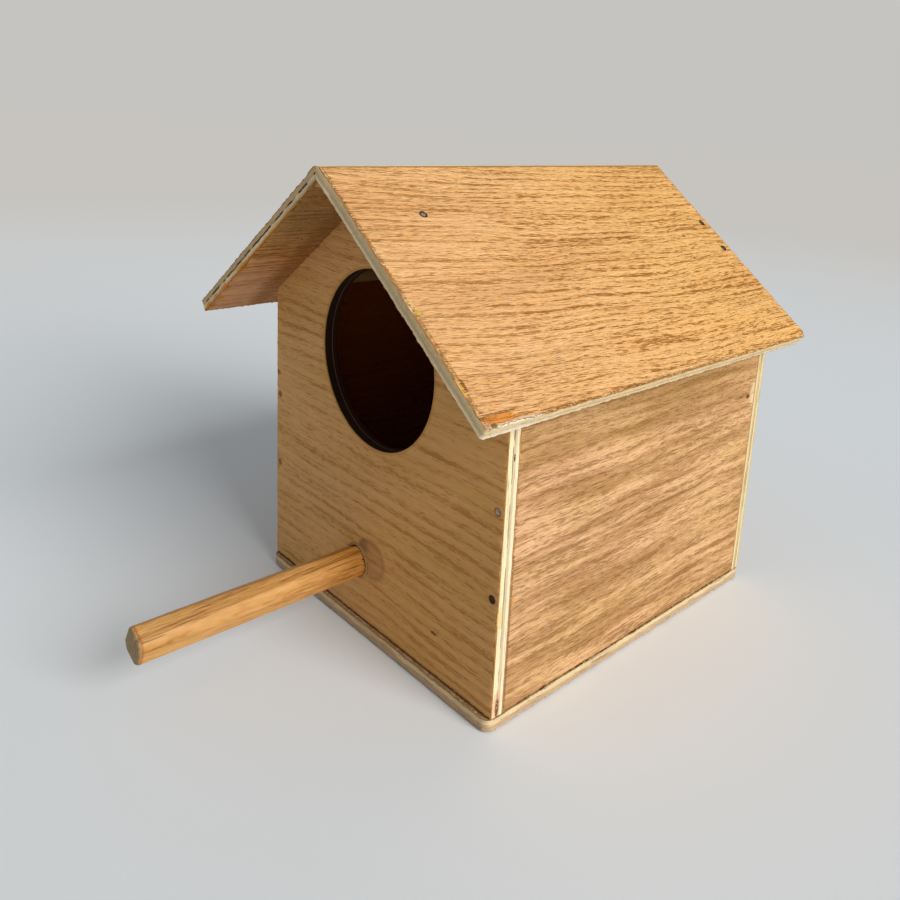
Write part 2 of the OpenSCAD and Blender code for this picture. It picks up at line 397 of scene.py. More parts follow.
def boardFinish(name, look, space, thickness, centre, half, seed, spots=()):
    paint, tree, surface = startPaint(name, 0.18)
    place = boardSpace(tree, *space)
    along, _, depth = split(place)
    faded = {}
    if "fade" in look:
        # the grain grows weaker along the board
        faded = {key: times(spread(along, *look["fade"]), look[key]) for key in ("pores", "grain")}
    grain = useGroup(oakGrain, look, place=place, seed=seed, **faded)
    edge = useGroup(plyLayers, look, place=place, thickness=thickness, seed=seed)
    wear = useGroup(rimWear, look, place=place, centre=centre, half=half, seed=seed)
    colour = grain["colour"]
    if "drift" in look:
        # the veneer's hue changes along the board
        tint = blend(spread(along, *look["drift"]["span"]), look["drift"]["from"], look["drift"]["to"])
        colour = blend(1.0, colour, tint, "MULTIPLY")
    if look.get("inner"):
        # the face towards the inside: on the walls it is darkened nearly to black as painted shade of the
        # box's inside; on the roofs only its tint shifts
        inner = blend(1.0, colour, look["inner"], "MULTIPLY")
        if "innerFlat" in look:
            inner = blend(0.85, inner, look["innerFlat"])
        colour = blend(spread(depth, thickness * 0.5, thickness * 0.55), colour, inner)
    if "ledge" in look:
        # beyond the walls the base's top is darker, more so in front of the front wall, and darkest in the
        # joint
        ledge = look["ledge"]
        foot = useGroup(rimWear, {}, place=place, centre=(0, 0, 0), half=ledge["walls"], wear=1.0,
                        patchy=0.5, seed=seed)
        pastFront = partial(spread, along, ledge["frontLine"] - 0.2, ledge["frontLine"] + 0.2)
        colour = blend(0.85, colour, blend(pastFront(), ledge["frontTint"], ledge["sideTint"]))
        frayed = timesPlus(minus(cloudy(place, (1.2, 1.2, 4), 3.0, 0.7), 0.5), 1.5, foot["distance"])
        frayed = minus(frayed, pastFront(-0.5, -0.6))
        colour = blend(spread(frayed, -0.35, 0.35), colour, ledge["joint"])
    # the veneer is chipped at its rim, to cream and orange wood, with a dark broken line behind
    chip = blend(cloudy(place, (1.8, 1.8, 3), 3.0, 0.7), look["chipDark"], look["chipPale"])
    colour = blend(times(wear["mask"], look["wearMix"]), colour, chip)
    colour = blend(times(wear["line"], look["wearMix"]), colour, look["chipLine"])
    colour = blend(edge["edge"], colour, edge["colour"])
    ragged = cloudy(place, (1.1, 1.1, 1.1), 4.0, 0.7)
    thin = spread(ragged, 0.36, 0.5, 0.45, 1.0)
    for at, size, wobble, tint, strength, *tail in spots:
        soft, rimStrength = tail + [0.15, 0.0][len(tail):]
        spot = useGroup(stainSpot, {}, place=place, centre=at, size=size, noise=ragged, wobble=wobble,
                        soft=soft)
        amount = times(times(spot["mask"], thin), strength)
        colour = blend(timesPlus(spot["rim"], rimStrength, amount, clamp=True), colour, tint)
    if "hole" in look:
        # the wall of the hole is near black with a paler ply part way in; past that ply it is painted shade
        # of the box's inside
        hole = look["hole"]
        within = useGroup(stainSpot, {}, place=place, centre=hole["centre"],
                          size=(hole["radius"], hole["radius"], 900), noise=0.5, wobble=0.0, soft=0.003)
        holeWallTone = blend(spread(ragged, 0.35, 0.65), hole["char"], hole["brown"])
        holeWallTone = blend(spread(depth, 3.7, 3.8), holeWallTone, hole["deep"])
        pale = times(spread(depth, 3.5, 3.65), spread(depth, 3.85, 4.0, 1.0, 0.0))
        holeWallTone = blend(pale, holeWallTone, hole["line"])
        colour = blend(times(within["mask"], spread(depth, 0.25, 0.5)), colour, holeWallTone)
    gloss = spread(grain["pores"], 0.0, 1.0, look["roughness"], look["roughness"] + 0.2)
    relief = spread(edge["edge"], 0.0, 1.0, times(grain["height"], look["relief"]),
                    times(edge["height"], 0.22), smooth=False)  # in mm
    finishPaint(surface, colour, timesPlus(edge["edge"], 0.18, gloss, clamp=True), relief, mm)
    return paint


def editMode():
    bpy.ops.object.mode_set(mode="EDIT")


def objectMode():
    bpy.ops.object.mode_set(mode="OBJECT")


def selectAll():
    bpy.ops.mesh.select_all(action="SELECT")


def pick(thing, kind, wanted):
    # selects the parts of the edit mesh that pass a test
    bpy.ops.mesh.select_mode(type={"verts": "VERT", "edges": "EDGE", "faces": "FACE"}[kind])
    bpy.ops.mesh.select_all(action="DESELECT")
    shape = bmesh.from_edit_mesh(thing.data)
    found = [part for part in getattr(shape, kind) if wanted(part)]
    for part in found:
        part.select_set(True)
    shape.select_flush(True)
    bmesh.update_edit_mesh(thing.data)
    return len(found)


def cutOff(point, outward, fill=True):
    # everything past a plane goes
    selectAll()
    bpy.ops.mesh.bisect(plane_co=point, plane_no=outward, use_fill=fill, clear_outer=True)


def extrude(x, y, z):
    bpy.ops.mesh.extrude_region_move(TRANSFORM_OT_translate={"value": (x, y, z)})


def inset(amount):
    bpy.ops.mesh.inset(thickness=amount)


def closeShape():
    selectAll()
    bpy.ops.mesh.normals_make_consistent(inside=False)
    objectMode()


def applyPlace():
    bpy.ops.object.transform_apply(location=True, rotation=True, scale=True)


def pushAbout(piece, label, size, level, strength, group=""):
    # a cloud of noise moves the surface
    cloud = bpy.data.textures.new(piece.name + label, type="CLOUDS")
    cloud.noise_scale = size
    push = piece.modifiers.new(label, "DISPLACE")
    push.texture, push.texture_coords, push.vertex_group = cloud, "LOCAL", group
    push.mid_level, push.strength = level, strength
    activate(piece)
    bpy.ops.object.modifier_apply(modifier=label)


def startOutline(name, width, height):
    clearSelection()
    bpy.ops.mesh.primitive_plane_add(size=1, location=(0, 0, 0))
    board = named(name)
    editMode()
    selectAll()
    bpy.ops.transform.resize(value=(width, height, 1))
    return board


def roundCorners(board, radius, wanted=lambda v: True):
    pick(board, "verts", wanted)
    bpy.ops.mesh.bevel(offset=radius, segments=7, affect="VERTICES")


def divideRim(board, step):
    # the outline becomes a loop of short edges
    bpy.ops.mesh.select_mode(type="EDGE")
    selectAll()
    bpy.ops.mesh.delete(type="ONLY_FACE")
    while pick(board, "edges", lambda e: e.calc_length() > step * 1.5):
        bpy.ops.mesh.subdivide(number_cuts=1)
    selectAll()
    bpy.ops.mesh.edge_face_add()


def layUp(board, thickness, upperRound, capInset=1.4 * mm, lowerRound=None):
    # extrudes the outline down ply by ply, then eases both rims and keeps a flat cap inside each face
    for share in (0.1, 0.2, 0.2, 0.2, 0.3) if lowerRound else (0.1, 0.2, 0.2, 0.22, 0.18, 0.1):
        extrude(0, 0, -thickness * share)
    bpy.ops.mesh.select_mode(type="FACE")
    inset(capInset)
    pick(board, "faces", lambda f: len(f.verts) > 20 and f.calc_center_median().z > -thickness * 0.5)
    inset(capInset)
    # the upper rim is only broken, the lower one may be sanded round
    for level, ease, cuts in ((0, upperRound, 2),
                              (-thickness, lowerRound or upperRound, 4 if lowerRound else 2)):
        pick(board, "edges", lambda e: all(abs(v.co.z - level) < 1e-6 for v in e.verts)
             and len(e.link_faces) == 2 and e.calc_face_angle(0) > radians(60))
        bpy.ops.mesh.bevel(offset=ease, segments=cuts, affect="EDGES")
    closeShape()
    flat = {i for face in board.data.polygons if len(face.vertices) > 20 for i in face.vertices}
    rim = board.vertex_groups.new(name="rim")
    rim.add([v.index for v in board.data.vertices if v.index not in flat], 1.0, "REPLACE")


def placeBoard(board, turn, origin):
    # columns of turn are where the outline's x, y and outward normal go
    activate(board)
    board.matrix_world = Matrix.Translation(origin) @ turn.to_4x4()
    applyPlace()


def roughenRim(board, amount, grit, calm=None):
    # saw marks and small chips, always into the wood; calm is a test for rims that stay neat
    if calm:
        board.vertex_groups["rim"].remove([v.index for v in board.data.vertices if calm(v.co)])
    for label, size, strength in (("wavyCut", grit * 7, amount * 0.45), ("splintery", grit, amount)):
        pushAbout(board, label, size, 0.22, -strength, "rim")


def cutWith(board, cutter):
    activate(board)
    hole = board.modifiers.new("hole", "BOOLEAN")
    hole.operation, hole.solver, hole.object = "DIFFERENCE", "EXACT", cutter
    bpy.ops.object.modifier_apply(modifier=hole.name)
    bpy.data.objects.remove(cutter)


def rodCutter(centre, axis, radius, length, sides=32):
    clearSelection()
    bpy.ops.mesh.primitive_cylinder_add(vertices=sides, radius=radius, depth=length, location=centre,
                                        rotation=Vector(axis).to_track_quat("Z", "Y").to_euler())
    applyPlace()
    return bpy.context.object


def finishPiece(piece, paint, node, angle=32):
    activate(piece)
    bpy.ops.object.shade_smooth_by_angle(angle=radians(angle))
    piece.data.materials.clear()
    piece.data.materials.append(paint)
    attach(piece, "root")
    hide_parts(node)
    print("made", piece.name, len(piece.data.polygons), "faces")


nailLook = {
    "headRadius": 1.4 * mm, "headDepth": 0.5 * mm,
    "shankRadius": 0.6 * mm, "length": 16 * mm, "point": 1.8 * mm,
    "recess": 0.06 * mm,  # how far the head is dished, and set below the wood
    "dull": (0.2, 0.16, 0.115), "bright": (0.72, 0.6, 0.44), "rim": (0.03, 0.018, 0.01),
    "rustTint": (0.062, 0.024, 0.01), "filler": (0.36, 0.17, 0.06),
    # lower nail first: below 0 is a clean head whose painted shade ring is fainter, 1 rusty, 2 filled over
    "rusty": {"front_left_nails": (2.0, 2.0), "front_right_nails": (1.3, -0.6),
              "roof_right_back_nails": (1.0, 1.0)},
}

# outward direction of each nail node's heads, and the boards they go through
rightUp = (sin(pitch), 0, cos(pitch))
leftUp = (-sin(pitch), 0, cos(pitch))
nailNodes = {
    "front_left_nails": ((0, -1, 0), "frontBoard leftBoard"),
    "front_right_nails": ((0, -1, 0), "frontBoard rightBoard"),
    "back_left_nails": ((0, 1, 0), "backBoard leftBoard"),
    "back_right_nails": ((0, 1, 0), "backBoard rightBoard"),
    "roof_left_front_nail": (leftUp, "roofLeftBoard frontBoard"),
    "roof_left_back_nails": (leftUp, "roofLeftBoard backBoard"),
    "roof_right_front_nail": (rightUp, "roofRightBoard frontBoard"),
    "roof_right_back_nails": (rightUp, "roofRightBoard backBoard"),
    "base_front_nails": ((0, 0, -1), "baseBoard frontBoard"),
    "base_back_nails": ((0, 0, -1), "baseBoard backBoard"),
    "base_side_nails": ((0, 0, -1), "baseBoard leftBoard rightBoard"),
}


def nailSpots(nodeName, axis):
    # centres of the heads in a node, read from the vertices on its outer end
    points = [v.co.copy() for v in nodes[nodeName].data.vertices]
    top = max(p.dot(axis) for p in points)
    heads = []
    for p in (q for q in points if q.dot(axis) > top - 0.02 * mm):
        near = [h for h in heads if (h[0] - p).length < 4 * mm]
        if near:
            near[0].append(p)
        else:
            heads.append([p])
    return [sum(h, Vector()) / len(h) for h in heads]


def nailHoles(board):
    # a recess a little wider than the head, and a hole for the shank, with the roof's nails last
    depth = nailLook["headDepth"] + nailLook["recess"]
    through = [name for name, (_, boards) in nailNodes.items() if board.name in boards.split()]
    for name in sorted(through, key=lambda name: name.startswith("roof")):
        axis = Vector(nailNodes[name][0])
        for head in nailSpots(name, axis):
            cutWith(board, rodCutter(head - axis * (depth / 2 - 0.5 * mm), axis,
                                     nailLook["headRadius"] + 0.12 * mm, depth + 1.0 * mm, 20))
            cutWith(board, rodCutter(head - axis * 8.5 * mm, axis, nailLook["shankRadius"] + 0.05 * mm,
                                     17 * mm, 12))


# colours and strengths of a board: face grain first, then the plies in its edge and the worn rim. Each
# board's colours were fitted to how bright it shows, so besides the wood's own tones they hold painted
# light and shade: the roof's face and eave are set paler, the side's face darker
warmOak = {
    "pale": (1.0, 0.622, 0.262), "tan": (0.92, 0.492, 0.166), "dark": (0.56, 0.238, 0.036),
    "pore": (0.37, 0.135, 0.012), "patch": (0.95, 0.925, 0.97), "patches": 0.5,
    "bandWidth": 9.0, "bands": 0.1, "grain": 1.74, "chains": 0.7, "chainLength": 70.0, "chainWidth": 2.0,
    "ringWidth": 2.9, "ringStrength": 0.15, "ringWander": 2.4, "tone": 0.35, "fibre": 0.36,
    "pores": 0.7, "poreLength": 4.6, "poreWidth": 0.48, "wave": 5.0, "roughness": 0.6, "relief": 0.42,
    "cream": (0.99, 0.79, 0.455), "lower": (0.99, 0.835, 0.54), "core": (0.5, 0.35, 0.2),
    "glueLine": (0.04, 0.022, 0.01), "hair": (0.3, 0.14, 0.04), "veneer": (0.48, 0.23, 0.06),
    "coreStrength": 0.4, "voids": 0.0, "voidLength": 3.0, "voidDepth": 0.11, "hairs": 0.4, "grime": 0.25,
    "wear": 0.65, "patchy": 0.7, "wearMix": 0.85,
    "chipPale": (0.95, 0.68, 0.36), "chipDark": (0.78, 0.38, 0.11), "chipLine": (0.28, 0.11, 0.022),
}
sideOak = dict(
    warmOak, pale=(0.86, 0.525, 0.265), tan=(0.56, 0.308, 0.134), dark=(0.42, 0.21, 0.07),
    pore=(0.26, 0.115, 0.028), patch=(0.95, 0.98, 0.84), patches=0.8,
    bandWidth=6.0, bands=0.46, grain=1.04, chains=0.74, chainLength=42.0, chainWidth=2.4,
    ringWidth=6.0, ringStrength=0.26, tone=0.22, fibre=0.26, pores=0.25, poreLength=4.2, poreWidth=0.6,
    wave=6.0, relief=0.28, wear=0.25, inner=(0.4, 0.13, 0.04), innerFlat=(0.42, 0.105, 0.01),
    drift={"span": (-80, 70), "from": (1.0, 0.99, 1.03), "to": (1.0, 1.0, 0.96)})
frontOak = dict(
    warmOak, pale=(0.8, 0.455, 0.165), tan=(0.715, 0.385, 0.125), dark=(0.58, 0.275, 0.072),
    pore=(0.4, 0.17, 0.032), patch=(0.95, 0.99, 0.85), patches=0.7,
    bandWidth=5.5, bands=0.15, grain=0.86, chains=0.84, chainLength=130.0, ringWidth=5.3, ringStrength=0.35,
    ringWander=0.8, tone=0.3, fibre=0.22, pores=0.38, poreLength=3.8, poreWidth=0.62, wave=4.0, relief=0.14,
    cream=(0.99, 0.87, 0.555), lower=(0.99, 0.865, 0.6), core=(0.49, 0.36, 0.2),
    glueLine=(0.11, 0.05, 0.018), coreStrength=0.55, voids=0.9, voidLength=9.0, voidDepth=0.035,
    hairs=0.85, grime=0.1, wear=0.3, inner=(0.4, 0.13, 0.04), innerFlat=(0.42, 0.105, 0.01),
    drift={"span": (-75, 30), "from": (1.04, 1.07, 1.24), "to": (0.965, 0.96, 1.0)})
backOak = dict(frontOak, cream=(0.82, 0.66, 0.33), lower=(0.84, 0.72, 0.42), hair=(0.42, 0.26, 0.08),
               hairs=1.0, grime=0.2)
roofRightOak = dict(
    warmOak, lean=-0.055, arc=0.0003, fade=(-110, -10, 0.42, 1.03), inner=(1.0, 1.4, 2.6),
    coreStrength=0.45, core=(0.46, 0.34, 0.2),
    drift={"span": (-110, 80), "from": (0.985, 0.975, 1.1), "to": (1.0, 0.97, 0.86)})
roofLeftOak = dict(
    warmOak, pores=0.45, bands=0.5, inner=(0.92, 0.85, 0.88), veneer=(0.2, 0.11, 0.045),
    cream=(0.68, 0.5, 0.27), lower=(0.99, 0.84, 0.56), coreStrength=0.15, voids=1.0, voidDepth=0.13,
    voidLength=3.6, glueLine=(0.06, 0.034, 0.016))
baseOak = dict(
    frontOak, inner=None, cream=(0.8, 0.65, 0.39), lower=(0.6, 0.43, 0.27),
    core=(0.48, 0.31, 0.17), veneer=(0.4, 0.25, 0.115), hair=(0.3, 0.16, 0.06), hairs=1.0,
    coreStrength=0.35, voids=0.6, grime=0.35, wear=0.2, wearMix=0.4,
    chipPale=(0.76, 0.58, 0.34), chipDark=(0.4, 0.24, 0.1),
    ledge={"walls": (83.0, 75.0, 0), "frontLine": -83.0, "frontTint": (0.5, 0.36, 0.21),
           "sideTint": (0.8, 0.62, 0.38), "joint": (0.16, 0.075, 0.024)})

def dressBoard(board, nodeName, slotName, *finish):
    nailHoles(board)
    finishPiece(board, boardFinish(board.name, *finish), nodeName)


wallShape = {"rimStep": 1.0 * mm, "ease": 0.22 * mm, "sawMarks": 0.45 * mm, "grit": 1.3 * mm,
             "thickness": 6.0}  # the last in mm, for the plies
# the hole's wall colours are near black; the deepest is painted shade of the box's inside
entrance = {"radius": 36 * mm, "height": 114 * mm, "facets": 128,  # height of its centre above the base
            "char": (0.018, 0.008, 0.004), "brown": (0.038, 0.017, 0.008),
            "line": (0.2, 0.11, 0.075), "deep": (0.04, 0.011, 0.002)}


def makeGable(name, nodeName, sign, slotName, seed, look, spots):
    # sign -1 is the front, +1 the back
    low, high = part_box(nodeName)
    bottom, apex = low.z, high.z
    middle = (low.y + high.y) / 2
    face = low.y if sign < 0 else high.y
    board = startOutline(name, high.x - low.x, apex - bottom)
    for side in (-1, 1):
        cutOff((0, (apex - bottom) / 2, 0), (side * sin(pitch), cos(pitch), 0), False)
    divideRim(board, wallShape["rimStep"])
    layUp(board, high.y - low.y, wallShape["ease"])
    turn = Matrix(((-sign, 0, 0), (0, 0, sign), (0, 1, 0)))
    placeBoard(board, turn, Vector((0, face, (bottom + apex) / 2)))
    # the rim against the side walls stays tight
    roughenRim(board, wallShape["sawMarks"], wallShape["grit"],
               lambda p: abs(p.y - middle) < abs(face - middle) - 0.5 * mm or abs(p.y) < abs(middle))
    if sign < 0:
        cutWith(board, rodCutter((0, middle, baseTop + entrance["height"]), (0, 1, 0), entrance["radius"],
                                 10 * mm, entrance["facets"]))
        cutWith(board, rodCutter(middleOf("perch", middle), (0, 1, 0), perchLook["tenon"] + 0.05 * mm,
                                 10 * mm, 40))
        look = dict(look, hole=dict(entrance, centre=(0, entrance["height"] / mm, 3),
                                    radius=entrance["radius"] / mm + 0.2))
    halfHeight = (apex - baseTop) / mm / 2
    space = (1, 0, 0), (0, 0, 1), (0, -sign, 0), (0, face, baseTop)
    dressBoard(board, nodeName, slotName, look, space, wallShape["thickness"], (0, halfHeight, 0),
               (high.x / mm, halfHeight, 0), seed, spots)


def makeSide(name, nodeName, sign, slotName, seed, look, spots):
    low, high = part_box(nodeName)
    face = high.x if sign > 0 else low.x
    board = startOutline(name, high.y - low.y, high.z - low.z)
    divideRim(board, wallShape["rimStep"])
    layUp(board, high.x - low.x, wallShape["ease"])
    turn = Matrix(((0, 0, sign), (sign, 0, 0), (0, 1, 0)))
    placeBoard(board, turn, Vector((face, 0, (low.z + high.z) / 2)))
    # top edge planed to the roof
    outerTop = high.z - (high.x - low.x) * tan(pitch)
    editMode()
    cutOff((face, 0, outerTop), (sign * sin(pitch), 0, cos(pitch)))
    objectMode()
    roughenRim(board, wallShape["sawMarks"], wallShape["grit"], lambda p: abs(p.y) > high.y - 0.6 * mm)
    halfHeight = (outerTop - baseTop) / mm / 2
    space = (0, 1, 0), (0, 0, 1), (-sign, 0, 0), (face, 0, baseTop)
    dressBoard(board, nodeName, slotName, look, space, wallShape["thickness"], (0, halfHeight, 0),
               (high.y / mm, halfHeight, 0), seed, spots)


roofShape = {"slope": 115.44 * mm, "thickness": 5.3 * mm, "sandedOff": 1.3 * mm, "frontCorner": 1.4 * mm,
             "backCorner": 4 * mm, "ridgeRound": 1.0 * mm, "rimStep": 0.9 * mm, "ease": 0.32 * mm,
             "sawMarks": 0.75 * mm, "grit": 1.2 * mm, "pastRidge": 15.44 * mm}


def makeRoof(name, nodeName, sign, slotName, seed, look, spots):
    low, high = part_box(nodeName)
    slope, length = roofShape["slope"], high.y - low.y
    ridge = Vector((0, 0, high.z + roofShape["sandedOff"]))
    board = startOutline(name, slope, length)
    roundCorners(board, roofShape["frontCorner"], lambda v: v.co.x > 0 and v.co.y * sign < 0)
    roundCorners(board, roofShape["backCorner"],
                 lambda v: v.co.x > slope / 2 - 1e-6 and v.co.y * sign > length / 2 - 1e-6)
    divideRim(board, roofShape["rimStep"])
    layUp(board, roofShape["thickness"], roofShape["ease"])
    down = Vector((sign * cos(pitch), 0, -sin(pitch)))
    up = Vector((sign * sin(pitch), 0, cos(pitch)))
    turn = Matrix((down, Vector((0, sign, 0)), up)).transposed()
    placeBoard(board, turn, ridge + Vector((0, (low.y + high.y) / 2, 0)) + down * slope / 2)
    roughenRim(board, roofShape["sawMarks"], roofShape["grit"], lambda p: abs(p.x) < 6 * mm)
    # plumb mitre at the ridge, sanded flat on top and rounded a little
    editMode()
    cutOff((0, 0, 0), (-sign, 0, 0))
    cutOff((0, 0, high.z), (0, 0, 1))
    for lean, out in ((12, 0.6), (25, 1.35)):
        cutOff((sign * out * roofShape["ridgeRound"], 0, high.z - out * 0.12 * mm),
               (sign * sin(radians(lean)), 0, cos(radians(lean))))
    objectMode()
    # its worn rim runs on past the ridge, which stays neat
    reach = (slope + roofShape["pastRidge"]) / 2 / mm
    dressBoard(board, nodeName, slotName, look, ((0, 1, 0), tuple(down), tuple(-up), tuple(ridge)),
               roofShape["thickness"] / mm, ((low.y + high.y) / 2 / mm, slope / mm - reach, 0),
               (length / 2 / mm, reach, 0), seed, spots)


baseShape = {"corner": 4 * mm, "rimStep": 0.75 * mm, "ease": 0.35 * mm, "underEase": 1.3 * mm,
             "cap": 2.2 * mm, "sawMarks": 1.0 * mm, "grit": 1.0 * mm}


def makeBase(name, nodeName, slotName, seed, look):
    low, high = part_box(nodeName)
    board = startOutline(name, high.x - low.x, high.y - low.y)
    roundCorners(board, baseShape["corner"])
    divideRim(board, baseShape["rimStep"])
    layUp(board, high.z - low.z, baseShape["ease"], baseShape["cap"], baseShape["underEase"])
    placeBoard(board, Matrix.Identity(3), Vector((0, 0, high.z)))
    roughenRim(board, baseShape["sawMarks"], baseShape["grit"])
    dressBoard(board, nodeName, slotName, look, ((0, 1, 0), (1, 0, 0), (0, 0, -1), (0, 0, high.z)),
               (high.z - low.z) / mm, (0, 0, 0), (high.y / mm, high.x / mm, 0), seed)


orange = (0.78, 0.33, 0.05)
brown = (0.24, 0.09, 0.02)
amber = (0.74, 0.29, 0.028)
# each mark: centre and size in mm along the grain, across it and below the face, how ragged it is,
# colour, strength, and where they differ from the usual its softness and the strength of its rim
frontSpots = [
    ((0.5, 29.4, 0), (9.4, 8.8, 6), 0.18, (0.36, 0.172, 0.076), 0.38, 0.15, 0.32),  # darker round the perch's root
    ((-4.5, 33.5, 0), (3.2, 2.6, 6), 0.5, (0.2, 0.09, 0.035), 0.6, 0.5),
    ((-14.2, 33.4, 0), (2.2, 0.9, 4), 0.9, orange, 0.9),
    ((41.9, 17.4, 0), (1.8, 0.75, 4), 0.6, (0.12, 0.05, 0.02), 0.85),
    ((-73.6, 89.8, 0), (2.2, 1.2, 4), 0.8, (0.1, 0.04, 0.015), 0.7),
    ((-73.8, 45, 0), (1.6, 3, 4), 0.8, (0.66, 0.26, 0.08), 0.7),
    ((0, 114, 0), (37, 37, 6), 0.03, (0.52, 0.28, 0.055), 0.7, 0.01),  # rim of the hole
    ((75, 99.5, 3.5), (1.5, 1.4, 0.42), 0.5, (0.1, 0.05, 0.02), 1),
    ((75, 4, 2.4), (1.5, 6.5, 1.8), 1.2, (0.8, 0.45, 0.28), 0.7),
    ((75, 3.6, 2.8), (1.5, 4, 0.95), 0.8, (0.2, 0.075, 0.03), 0.95),
    ((75, 40, 1.4), (1.5, 4.6, 1.3), 0.6, (0.95, 0.6, 0.24), 0.7)]
frontSpots += [((72, height, 0), (1.75, 1.75, 2), 0.15, (0.05, 0.03, 0.02), strength)
               for height, strength in ((46.6, 0.8), (79.6, 0.35))]  # round the nails
rightSpots = [
    ((76.8, 91.4, 0), (3.4, 6, 3), 1.3, (0.95, 0.72, 0.42), 0.9),
    ((71.4, 90.6, 0), (1.4, 0.95, 3), 0.6, (0.045, 0.02, 0.008), 0.95),
    ((65.6, 91.4, 0), (1.7, 0.6, 3), 0.9, (0.16, 0.07, 0.03), 0.75),
    ((-75.9, 44.2, 0), (0.9, 1.4, 3), 0.8, orange, 0.85),
    ((-76.7, 30, 0), (0.5, 48, 3), 3.2, (0.15, 0.065, 0.022), 0.6),
    # a darker band along the top of the side, under the eave: painted shade of the roof's overhang
    ((0, 117, 0), (110, 20, 3), 0.1, (0.42, 0.24, 0.075), 0.6, 0.6)]
roofSpots = [
    ((-103.5, 110.9, 0), (7.5, 0.8, 0.9), 1.2, brown, 0.8),
    ((-103.8, 112.7, 0), (7.8, 1.8, 0.9), 0.6, (0.84, 0.31, 0.05), 1),
    ((-99, 115.3, 0), (15, 1.2, 0.9), 0.9, (0.95, 0.82, 0.6), 0.95),
    ((-109, 113.8, 0), (1.6, 2, 0.9), 1, (0.82, 0.52, 0.3), 0.7),
    ((-106.4, 114.2, 0), (1.3, 0.8, 0.9), 0.7, (0.2, 0.11, 0.04), 0.9),
    ((-109.4, 99.5, 0), (1.1, 3.6, 0.9), 0.9, (1, 0.55, 0.12), 0.9),
    ((-108, 98.6, 0), (0.6, 2.6, 0.9), 1.4, brown, 0.9),
    ((-109, 66, 0), (1.4, 3.4, 0.9), 1.1, (0.95, 0.62, 0.25), 0.8, 0.15, 0.5),
    ((-107.6, 70.2, 0), (0.8, 1.2, 0.9), 0.8, (0.72, 0.58, 0.05), 0.9),
    ((-108.5, 88, 0), (0.45, 30, 0.9), 4, brown, 0.6),
    ((-109, 30, 0), (0.4, 28, 0.9), 4, brown, 0.5),
    ((-10, 114.4, 0), (75, 0.4, 0.9), 4, brown, 0.5),
    ((-97, 115.4, 4.4), (18, 3, 1.7), 1.3, (1, 0.9, 0.72), 0.8),
    ((-110.2, 58, 2.4), (1.2, 64, 1.9), 0.35, (0.55, 0.41, 0.24), 0.6, 0.3),
    ((57.6, 50, 0), (1.3, 0.8, 0.9), 0.9, brown, 0.85),
    ((81, 81, 0), (1.2, 1.4, 0.9), 1, orange, 0.6)]
roofSpots += [((along, across, 0), (1.72, 1.72, 2), 0.25, (0.07, 0.035, 0.015), 0.9)
              for along, across in ((-80, 27.7), (80, 43.2), (80, 59.9))]  # round the nails
underSpots = [
    ((-102, 98, 5.3), (22, 24, 1.6), 0.12, (0.8, 0.5, 0.34), 0.5, 0.6),
    # a dark reddish band along the front wall and a darker olive patch under the ridge: painted shade of
    # those corners
    ((-86, 58, 5.3), (5.5, 60, 1.6), 0.12, (0.36, 0.145, 0.03), 0.8, 0.7),
    ((-98, 10, 5.3), (28, 44, 1.6), 0.12, (0.31, 0.18, 0.055), 0.72, 0.6),
    ((-109.3, 109.5, 5), (2.3, 3.4, 1.6), 1.3, amber, 0.9),
    ((-108.8, 101, 5), (3.4, 2.2, 1.6), 1.3, amber, 0.9),
    ((-109.2, 91.5, 5), (1.9, 3.6, 1.6), 1.3, amber, 0.9),
    ((-109.4, 72, 5), (1.3, 4.5, 1.5), 1.3, amber, 0.85),
    ((-110, 62, 5.2), (0.8, 52, 1.2), 1.2, amber, 0.8)]


def makeBoards():
    makeGable("frontBoard", "front_wall", -1, "ply_front", 1.0, frontOak, frontSpots)
    makeGable("backBoard", "back_wall", 1, "ply_back", 2.0, backOak, [])
    makeSide("rightBoard", "right_wall", 1, "ply_side_right", 3.0, sideOak, rightSpots)
    makeSide("leftBoard", "left_wall", -1, "ply_side_left", 4.0, sideOak, [])
    makeRoof("roofRightBoard", "roof_right", 1, "ply_roof_right", 5.0, roofRightOak, roofSpots)
    makeRoof("roofLeftBoard", "roof_left", -1, "ply_roof_left", 6.0, roofLeftOak, underSpots)
    makeBase("baseBoard", "base_panel", "ply_base", 7.0, baseOak)


perchLook = {
    "tenon": 6.5 * mm,
    "rounding": 1.1 * mm,  # of the free end
    "rings": 40,  # lengthwise divisions
    "soakedFrom": 60.0,  # mm from the free end
    "cuts": ((20, 0.35, 0.6), (68, 0.55, -0.5), (112, 0.3, 0.4), (150, 0.5, -0.7), (205, 0.4, 0.5),
             (248, 0.45, -0.4), (292, 0.35, 0.6), (335, 0.5, -0.5)),  # angle, depth in mm, taper
    "pale": (0.77, 0.44, 0.155), "tan": (0.64, 0.335, 0.1), "dark": (0.43, 0.19, 0.038),
    "pore": (0.17, 0.06, 0.016), "patch": (0.9, 0.86, 0.92), "patches": 0.6,
    "bandWidth": 8.0, "bands": 0.3, "grain": 0.85, "chains": 0.6, "chainLength": 60.0, "chainWidth": 1.9,
    "ringWidth": 4.0, "ringStrength": 0.2, "ringWander": 1.0, "tone": 0.5, "fibre": 0.28,
    "pores": 0.25, "poreLength": 11.0, "poreWidth": 0.5, "wave": 2.5,
    "endPale": (0.44, 0.31, 0.145), "endDark": (0.2, 0.13, 0.058), "endRim": (0.36, 0.13, 0.03),
    "soaked": (0.92, 0.8, 0.52),
}


